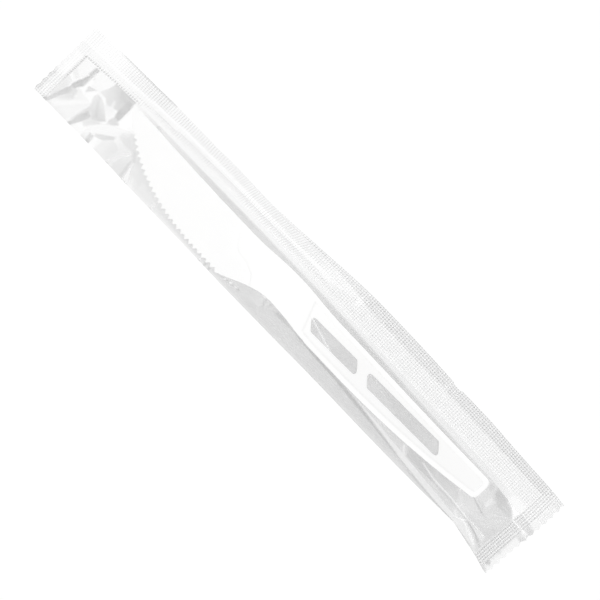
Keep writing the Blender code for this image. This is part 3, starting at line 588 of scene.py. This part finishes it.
def sealMasks(x):
    # 1 inside the left and the right end seal
    left = ramp(x, film["leftSeal"], film["leftSeal"] - film["sealEase"])
    begins = ramp(x, film["rightSeal"] + 0.1, film["rightSeal"] + 0.1 + film["sealEase"])
    return left, begins * ramp(x, film["rightSealEnd"], film["rightSealEnd"] - film["sealEase"])


def sealTone(x, y, along, cross, shadePaint, highlightPaint):
    # the pressed pattern of the two end seals takes the place of the painted tone there: painted shade in
    # valleys at
    # 1 - along and pits at (1 - along) * (1 - cross), and on the right one painted highlight on ribs at
    # along * (0.4 + 0.6 cross)
    pit = (1 - along) * (1 - cross)
    low = ramp(y, *film["lowHalf"])
    leftIn, rightIn = sealMasks(x)
    leftShadePaint = film["leftRib"] * low * (1 - along) + (film["leftPit"] + film["leftPitLow"] * low) * pit
    rightShadePaint = film["rightFlat"] + film["rightRib"] * (1 - along)
    rightShadePaint = rightShadePaint + (film["rightPit"] + film["rightPitLow"] * low) * pit
    shadePaint = shadePaint + leftIn * (leftShadePaint - shadePaint) + rightIn * (rightShadePaint - shadePaint)
    innerLine = bell(x, film["leftSeal"] - film["sealEase"], film["innerWidth"]) * (1 - 0.6 * low)
    columns = 0.4 + 0.6 * cross
    shadePaint = shadePaint + film["innerLine"] * innerLine * columns
    return shadePaint, np.maximum(highlightPaint, rightIn * film["rightWhite"] * along * columns)


def undersideNet(look):
    # points inside the underside's rim: an even net, a closer one under the fin's inner edge, and two rows
    # at the end of the right seal
    start, end = look["start"] + 2, look["end"] - 3.5
    nets = [(np.linspace(start, end, 130), np.linspace(0.06, 0.94, 11), None),
            (np.linspace(start, end, 260), np.array([-0.35, 0.35]), "finInner"),
            (np.array([102.4, 103.6]), np.linspace(0.04, 0.96, 24), None)]
    spots = []
    for along, across, beside in nets:
        x, t = np.meshgrid(along, across, indexing="ij")
        low, high = through(x, look["fold"]), through(x, look["tubeEdge"])
        y = through(x, look[beside]) + t if beside else low + (high - low) * t
        spots += [Vector(spot) for spot in zip(x.ravel(), y.ravel())]
    return spots


def filmUnderside(look, top, ring):
    # the lower layer shares the upper one's rim: its own points, its faces, and how dark its painted shade
    # is at each point;
    # z = under + the larger of underWave sin(0.21 x) cos(0.35 y) and underLeast
    rim = [Vector(p) for p in top[ring, :2]]
    got = delaunay_2d_cdt(rim + undersideNet(look), [], [list(range(len(rim)))], 1, 1e-7)
    flat = np.array([tuple(v) for v in got[0]])
    wave = look["underWave"] * np.sin(flat[:, 0] * 0.21) * np.cos(flat[:, 1] * 0.35)
    below = np.column_stack([flat, look["under"] + np.maximum(wave, look["underLeast"])])
    index, extra = [], []
    for i, origin in enumerate(got[3]):
        if origin and origin[0] < len(ring):
            index.append(ring[origin[0]])
        else:
            index.append(len(top) + len(extra))
            extra.append(i)
    faces = [[index[i] for i in reversed(face)] for face in got[2]]
    net = below[extra]
    x, y = net[:, 0], net[:, 1]
    toGap = ramp(y, 1.0, 2.5)
    shadePaint = through(x, look["lowDark"]) * (1 - toGap) + through(x, look["gapDark"]) * toGap
    shadePaint *= ramp(y - through(x, look["finInner"]), 0.3, -0.3)
    shadePaint *= 1 - facetMask(x, y, look["tipCorner"], 2 * look["facetEdge"])
    return net, faces, shadePaint


def filmTube(look):
    # the upper layer: z = the draped skin, plus the rise of its facets and creases where it lies free, plus
    # sealRib (along - 0.5) + crossRib (cross - 0.5) in the end seals; the lower layer closes it
    x, y = tubeGrid()
    knifeTop = heightUnder("knife", x, y)
    onKnife = knifeTop > 0
    inner = through(x, look["finInner"])
    sealed = (x <= look["leftSeal"]) | (x >= look["rightSeal"])
    held = sealed | (y > inner)
    held[0, :] = held[-1, :] = held[:, 0] = held[:, -1] = True
    z = drape(np.where(onKnife, knifeTop + look["clear"] + look["wall"], look["flatTop"]), held)

    shadePaint, highlightPaint, rise = upperTone(x, y)
    shadePaint, highlightPaint = np.where(onKnife, 0.0, shadePaint), np.where(onKnife, 0.0, highlightPaint)  # no painted shade or highlight over the knife, which stays white
    leftSeal, rightSeal = look["leftSeal"], look["rightSeal"]
    between = ramp(x, leftSeal, leftSeal + 2) * ramp(x, rightSeal, rightSeal - 2)
    z += np.where(onKnife | (y > inner), 0.0, rise) * between

    along = crest[:, None] + 0 * y
    cross = (np.arange(x.shape[1]) % 3 == 0)[None, :] + 0 * y  # three columns make one step of the pattern
    shadePaint, highlightPaint = sealTone(x, y, along, cross, shadePaint, highlightPaint)
    underFin = y > inner + 0.2
    shadePaint, highlightPaint = np.where(underFin, 0.0, shadePaint), np.where(underFin, 0.0, highlightPaint)
    relief = look["sealRib"] * (along - 0.5) + look["crossRib"] * (cross - 0.5)
    z += relief * sum(sealMasks(x))
    x = x + endShift(x, y)

    rows, cols = x.shape
    top = np.stack([x, y, z], 2).reshape(-1, 3)
    left, right = np.arange(1, rows) * cols + cols - 1, np.arange(rows - 2, 0, -1) * cols
    ring = np.concatenate([np.arange(cols), left, (rows - 1) * cols + np.arange(cols - 2, -1, -1), right])
    net, lowFaces, lowShadePaint = filmUnderside(look, top, ring)
    # the point attributes carry the film's painted shade and painted highlight
    return makeMesh("filmTube", np.concatenate([top, net]), list(gridFaces(rows, cols)) + lowFaces, {
        "shadePaint": np.concatenate([shadePaint.ravel(), lowShadePaint]),
        "highlightPaint": np.concatenate([highlightPaint.ravel(), np.zeros(len(net))]),
    })


# the fin: both long edges of the film pressed together, ribbed, and laid over the tube

fin = {
    "columns": 30,
    "smooth": 4,  # columns of the uncrimped strip next to the fold
    "under": 0.36,
    "over": 0.54,
    "rib": 0.08,
    "least": 0.12,  # between the fin's two layers
    "notch": 0.45,  # how far the outer edge is nipped in near the handle's windows
    "lift": 0.45,  # height of the ridge where it bends over the tube's edge, at the blade half
    "climb": 0.16,  # how steeply it rises past that edge there
    "edge": [(-107, 13.6), (-92, 14.2), (-79.5, 14.5), (-70, 14.8), (-55, 14.8), (-44, 15.1), (-30, 14.9),
             (-17.3, 15.4), (-9.4, 16.0), (0.2, 16.7), (9.8, 17.4), (19.3, 17.75), (27.3, 17.75),
             (41.7, 17.55), (57.6, 17.1), (70.4, 17.0), (79.9, 16.5), (89.5, 16.1), (99.1, 15.7),
             (107, 15.1)],
    # where the crimping starts
    "root": [(-107, 4.9), (-101, 5.3), (-92, 6.0), (-84, 6.6), (-79.5, 6.9), (-70, 7.0), (-60, 7.3),
             (-48, 7.8), (-38, 8.0), (3.4, 7.8), (16, 7.4), (64, 6.6), (98.7, 5.7), (107, 5.5)],
    # painted shade: how dark the crimped valleys are along the pack, over the tube and past its edge
    "overTube": [(-107, 0.0), (-60, 0.0), (-10, 0.01), (14, 0.07), (98, 0.08), (107, 0.10)],
    "outside": [(-107, 0.0), (-93, 0.0), (-84, 0.04), (-73, 0.06), (-71, 0.0), (-50, 0.0), (-12, 0.03),
                (107, 0.06)],
    "smoothDark": [(-107, 0.0), (-84, 0.0), (-76, 0.02), (-60, 0.03), (-30, 0.04), (10, 0.08), (30, 0.13),
                   (86, 0.14), (92, 0.08), (93.6, 0.0), (98, 0.0), (107, 0.02)],
    "pits": [(-107, 0.05), (-96, 0.07), (-86, 0.26), (-60, 0.42), (-12, 0.38), (14, 0.28), (98, 0.24),
             (107, 0.26)],
    # painted shade: the outer strip is darker still from this line out
    "darkLine": [(-30, 15.2), (0, 14.9), (8, 14.8), (13, 14.3), (18, 13.6), (36, 13.35), (83, 12.55),
                 (99, 12.2), (107, 12.0)],
    "darkBy": [(-30, 0.0), (-8, 0.06), (10, 0.10), (20, 0.16), (101, 0.16), (104, 0.08), (107, 0.08)],
    "edgeDark": 0.30,  # a painted shade line along the outer edge at the blade end
    "rootDark": 0.45,  # a broken painted shade line at the first ribs there
    "white": 0.40,  # painted highlight on the raised points
    "glints": [  # short bright lines across the fin, and how white they are
        ([(14.2, 15.0), (14.2, 11.8)], 0.7),
        ([(15.1, 14.2), (15.1, 12.0)], 0.5),
        ([(53.2, 17.0), (53.2, 13.4)], 0.35),
    ],
}


def finGrid(look):
    # x follows the stations; y runs over the smooth strip, inner + (root - inner) t / part, and then over
    # the crimped one, root + (edge - root) (t - part) / (1 - part), for t from 0 to 1
    t = np.linspace(0, 1, look["columns"] + 1)
    part = look["smooth"] / look["columns"]
    x = np.repeat(stations[:, None], len(t), 1)
    inner, root = through(x, film["finInner"]), through(x, look["root"])
    edge = through(x, look["edge"]) - look["notch"] * ramp(x, 53.6, 54.4) * ramp(x, 58.0, 57.2)
    y = np.where(t < part, inner + (root - inner) * t / part, root + (edge - root) * (t - part) / (1 - part))
    return x, y, root, edge, ramp(t[None, :], part, part + 0.02) + 0 * x


def finTone(look, x, y, root, edge, tube, crimped, along, cross):
    # the pressed pattern as painted tone: painted highlight on raised points at along * cross, painted shade
    # in pits at (1 - along) * (1 - cross) and in the darker valleys between them
    point, pit = along * cross, (1 - along) * (1 - cross)
    outer = ramp(y, tube, tube + 0.5)
    deep = through(x, look["overTube"]) * (1 - outer) + through(x, look["outside"]) * outer
    shadePaint = through(x, look["smoothDark"]) * (1 - crimped) + deep * (1 - point) * crimped
    fullFrom = root + 0.3  # the pits' painted shade is faint next to the smooth strip
    shadePaint += pit * crimped * (0.35 + 0.65 * ramp(y, fullFrom, fullFrom + 1.5)) * through(x, look["pits"])
    darkLine = through(x, look["darkLine"])
    dark = ramp(y, darkLine, darkLine + 0.4)
    shadePaint += through(x, look["darkBy"]) * dark * crimped * (1 + 1.1 * pit)
    # painted highlight: less shade on the ridge where the strip bends over the tube's own edge, wider at the
    # blade end
    ridgeFrom = tube - 0.85 - 0.5 * ramp(x, -58, -66)
    ridge = ramp(y, ridgeFrom, ridgeFrom + 0.4) * ramp(y, tube + 1.0, tube + 0.6) * ramp(x, 9, 0)
    shadePaint *= 1 - 0.85 * ridge
    # painted shade over the right end seal, past it, and at the left one
    leftIn, ends = sealMasks(x)
    shadePaint += ends * (0.08 + 0.10 * (1 - along) + 0.32 * pit - shadePaint) * (1 - dark)
    past = ramp(x, film["rightSealEnd"], film["rightSealEnd"] + 0.5)
    shadePaint += past * (0.06 + 0.16 * pit * crimped - shadePaint) * (1 - dark)
    shadePaint += look["edgeDark"] * ramp(y - edge, -0.45, -0.15) * ramp(x, -97, -91) * ramp(x, -69.5, -71.5)
    firstRibs = bell(y, root - 0.1, 0.35) * (1 - along)
    shadePaint += look["rootDark"] * firstRibs * ramp(x, -78, -82) * ramp(x, -102.6, -102.1)
    shadePaint += leftIn * 0.10 * pit
    # painted highlight on the raised points, the right seal's ribs and the glints
    highlightPaint = crimped * look["white"] * point * ramp(x, -70, -30) * (1 - 0.3 * dark)
    highlightPaint = np.maximum(highlightPaint, ends * 0.35 * along)
    for line, white in look["glints"]:
        highlightPaint = np.maximum(highlightPaint, white * lineMask(x, y, line, 0.35, 0.4))
    return shadePaint, highlightPaint


def finSeal(look):
    # a hairpin strip: from its fold out to the cut edge and back underneath, with
    # z = over + rib (along + cross - 1) + a bell of height lift on the tube's edge + a slope past it
    x, y, root, edge, crimped = finGrid(look)
    along = crest[:, None] + 0 * x
    cross = (np.arange(x.shape[1]) % 2)[None, :] + 0 * x
    tube = through(x, film["tubeEdge"])
    lift = look["lift"] * ramp(x, 2, -12) * ramp(x, -104, -84)
    slope = np.maximum(y - tube, 0) * look["climb"] * ramp(x, 6, -8)
    relief = look["rib"] * (along + cross - 1) * crimped
    z = look["over"] + relief + lift * bell(y, tube, 0.7) + slope
    shadePaint, highlightPaint = finTone(look, x, y, root, edge, tube, crimped, along, cross)
    x = x + endShift(x, y)
    top = np.stack([x, y, z], 2)
    down = look["under"] + slope + relief * 0.6
    low = np.stack([x, y, np.minimum(down, z - look["least"])], 2)[:, ::-1]
    both = np.concatenate([top, low], 1)
    rows, cols = both.shape[:2]
    # the point attributes carry the fin's painted shade and painted highlight
    return makeMesh("finSeal", both.reshape(-1, 3), gridFaces(rows, cols), {
        "shadePaint": np.concatenate([shadePaint, np.zeros_like(shadePaint)], 1),
        "highlightPaint": np.concatenate([highlightPaint, np.zeros_like(highlightPaint)], 1),
    })


def thicken(piece, wall):
    # the film's wall, inwards from its outer side
    solid = piece.modifiers.new("filmWall", "SOLIDIFY")
    solid.thickness = wall * mm
    solid.offset = -1.0
    solid.use_even_offset = False
    solid.use_rim = True
    solid.material_offset = 1  # the inner side has the clear finish


filmLook = {
    # the painted shade is this black, and the painted highlight is this white
    "dark": (0.03, 0.03, 0.032),
    "white": (0.97, 0.97, 0.97),
    "shine": 0.006,  # opacity that carries the shine where the film is quite clear
    "innerShine": 0.004,
    "roughness": 0.12,
    "roughnessSpread": 0.08,
    "haze": (130.0, 1500.0, 0.3),
    "cloudiness": 0.4,  # how much the haze changes the film's painted shade, and the inner side's shine
    "innerCloudiness": 0.006,
    "streaks": 0.22,  # how much the fine wrinkles along the pack change it
    "wrinkles": (30.0, 430.0, 30.0),  # how many noise steps in a metre each way
    "bend": 1.6,  # index of refraction
    "bump": 0.2,  # strength and depth of the haze and wrinkles
    "bumpDepth": 0.2,
}


def filmMaterial(look):
    # the outer side of the film: painted shade in black and painted highlight in white, as opaque as the
    # point attributes say
    made, tree, shader = newMaterial("clearFilm")
    links = tree.links

    def attribute(name):
        node = tree.nodes.new("ShaderNodeAttribute")
        node.attribute_name = name
        return node.outputs["Fac"]

    cloud = addHaze(tree, look["haze"])
    coords, turned = tree.nodes.new("ShaderNodeTexCoord"), tree.nodes.new("ShaderNodeMapping")
    turned.inputs["Scale"].default_value = look["wrinkles"]
    wrinkle = tree.nodes.new("ShaderNodeTexNoise")
    wrinkle.inputs["Scale"].default_value = 1.0
    wrinkle.inputs["Detail"].default_value = 3.0
    links.new(coords.outputs["Object"], turned.inputs["Vector"])
    links.new(turned.outputs["Vector"], wrinkle.inputs["Vector"])
    streak = mathNode(tree, "SUBTRACT", wrinkle.outputs["Fac"], 0.5)
    cloudy = mathNode(tree, "MULTIPLY_ADD", cloud, look["cloudiness"], 1.0)
    uneven = mathNode(tree, "ADD", cloudy, mathNode(tree, "MULTIPLY", streak, look["streaks"]))
    # pale is the painted highlight plus the shine, dark is the painted shade
    pale = mathNode(tree, "ADD", attribute("highlightPaint"), look["shine"])
    clear = mathNode(tree, "SUBTRACT", 1.0, pale)
    dark = mathNode(tree, "MULTIPLY", mathNode(tree, "MULTIPLY", attribute("shadePaint"), uneven), clear)
    alpha = mathNode(tree, "MINIMUM", mathNode(tree, "ADD", dark, pale), 1.0)
    whitePart = mathNode(tree, "DIVIDE", pale, mathNode(tree, "MAXIMUM", alpha, 0.001))
    colours = tree.nodes.new("ShaderNodeMix")
    colours.data_type = "RGBA"
    links.new(whitePart, colours.inputs["Factor"])
    colours.inputs["A"].default_value = (*look["dark"], 1.0)
    colours.inputs["B"].default_value = (*look["white"], 1.0)
    links.new(colours.outputs["Result"], shader.inputs["Base Color"])
    links.new(alpha, shader.inputs["Alpha"])
    rough = mathNode(tree, "MULTIPLY_ADD", cloud, look["roughnessSpread"], look["roughness"])
    links.new(rough, shader.inputs["Roughness"])
    shader.inputs["IOR"].default_value = look["bend"]
    bump = tree.nodes.new("ShaderNodeBump")
    bump.inputs["Strength"].default_value = look["bump"]
    bump.inputs["Distance"].default_value = look["bumpDepth"] * mm
    links.new(mathNode(tree, "ADD", cloud, streak), bump.inputs["Height"])
    links.new(bump.outputs["Normal"], shader.inputs["Normal"])
    return made


def innerMaterial(look):
    # the inner side: clear, with a little shine
    made, tree, shader = newMaterial("clearFilmInside")
    cloud = addHaze(tree, look["haze"])
    shader.inputs["Base Color"].default_value = (*look["white"], 1.0)
    shader.inputs["IOR"].default_value = look["bend"]
    shine = mathNode(tree, "MULTIPLY_ADD", cloud, look["innerCloudiness"], look["innerShine"])
    rough = mathNode(tree, "MULTIPLY_ADD", cloud, look["roughnessSpread"], look["roughness"])
    tree.links.new(shine, shader.inputs["Alpha"])
    tree.links.new(rough, shader.inputs["Roughness"])
    return made


filmFinish, insideFinish = filmMaterial(filmLook), innerMaterial(filmLook)
tubePiece, finPiece = filmTube(film), finSeal(fin)
for piece in (tubePiece, finPiece):
    piece.data.materials.append(filmFinish)
    piece.data.materials.append(insideFinish)
    thicken(piece, film["wall"])
    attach(piece, "root")
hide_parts("film_wrapper")
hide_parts("film_wrapper")
print("film: tube and fin made")


# floor, lights and camera, in metres

stage = {
    "size": 3.0,
    "drop": 0.0001,  # the floor lies this far under the pack
    "white": (0.93, 0.93, 0.93),
    "roughness": 0.9,
    "glow": 0.96,  # how much of the floor's own look is plain white where it is seen, and how bright
    "glowStrength": 1.02,
    "roomLight": 0.55,  # the room's light on the object
}


def floorMaterial(look):
    made, tree, shader = newMaterial("paleFloor")
    shader.inputs["Base Color"].default_value = (*look["white"], 1.0)
    shader.inputs["Roughness"].default_value = look["roughness"]
    light = tree.nodes.new("ShaderNodeLightPath")
    glow = tree.nodes.new("ShaderNodeEmission")
    glow.inputs["Strength"].default_value = look["glowStrength"]
    glossy, passing = light.outputs["Is Glossy Ray"], light.outputs["Is Transmission Ray"]
    indirect = mathNode(tree, "MAXIMUM", glossy, passing)
    seen = mathNode(tree, "MAXIMUM", light.outputs["Is Camera Ray"], indirect)
    mixed = tree.nodes.new("ShaderNodeMixShader")
    tree.links.new(mathNode(tree, "MULTIPLY", seen, look["glow"]), mixed.inputs["Fac"])
    tree.links.new(shader.outputs[0], mixed.inputs[1])
    tree.links.new(glow.outputs[0], mixed.inputs[2])
    tree.links.new(mixed.outputs[0], tree.nodes["Material Output"].inputs["Surface"])
    return made


floorMesh = bpy.data.meshes.new("paleFloor")
half = stage["size"] / 2
corners = [(-half, -half, 0), (half, -half, 0), (half, half, 0), (-half, half, 0)]
floorMesh.from_pydata(corners, [], [(0, 1, 2, 3)])
floor = bpy.data.objects.new("paleFloor", floorMesh)
bpy.context.scene.collection.objects.link(floor)
floor.location.z = -stage["drop"]
floor.data.materials.append(floorMaterial(stage))

world = bpy.data.worlds.new("paleRoom")
bpy.context.scene.world = world
world.use_nodes = True
backdrop = world.node_tree.nodes["Background"]
backdrop.inputs["Color"].default_value = (1.0, 1.0, 1.0, 1.0)
seenFrom = world.node_tree.nodes.new("ShaderNodeLightPath")
strength = mathNode(world.node_tree, "MULTIPLY_ADD", seenFrom.outputs["Is Camera Ray"],
                    1.0 - stage["roomLight"], stage["roomLight"])
world.node_tree.links.new(strength, backdrop.inputs["Strength"])

lamps = {
    "overhead": {"place": (0.10, 0.25, 1.3), "size": 0.9, "watts": 7.7},
    "side": {"place": (-0.55, -0.75, 0.55), "size": 0.45, "watts": 2.8},
}
for name, lamp in lamps.items():
    light = bpy.data.lights.new(name, "AREA")
    light.size = lamp["size"]
    light.energy = lamp["watts"]
    holder = bpy.data.objects.new(name, light)
    bpy.context.scene.collection.objects.link(holder)
    holder.location = lamp["place"]
    holder.rotation_euler = Vector(lamp["place"]).to_track_quat("Z", "Y").to_euler()  # it faces the pack

view = {"height": 0.9, "across": 0.1913, "turn": 46.0, "aim": (0.00086, 0.0001), "sensor": 36.0}
camera = bpy.data.cameras.new("above")
camera.sensor_width = view["sensor"]
camera.lens = view["sensor"] * view["height"] / view["across"]
camera.clip_start, camera.clip_end = 0.01, 20.0
eye = bpy.data.objects.new("above", camera)
bpy.context.scene.collection.objects.link(eye)
eye.location = (*view["aim"], view["height"])
eye.rotation_euler = (0.0, 0.0, math.radians(view["turn"]))
bpy.context.scene.camera = eye
bpy.context.scene.view_settings.view_transform = "Standard"
print("stage: floor, lamps and camera set")
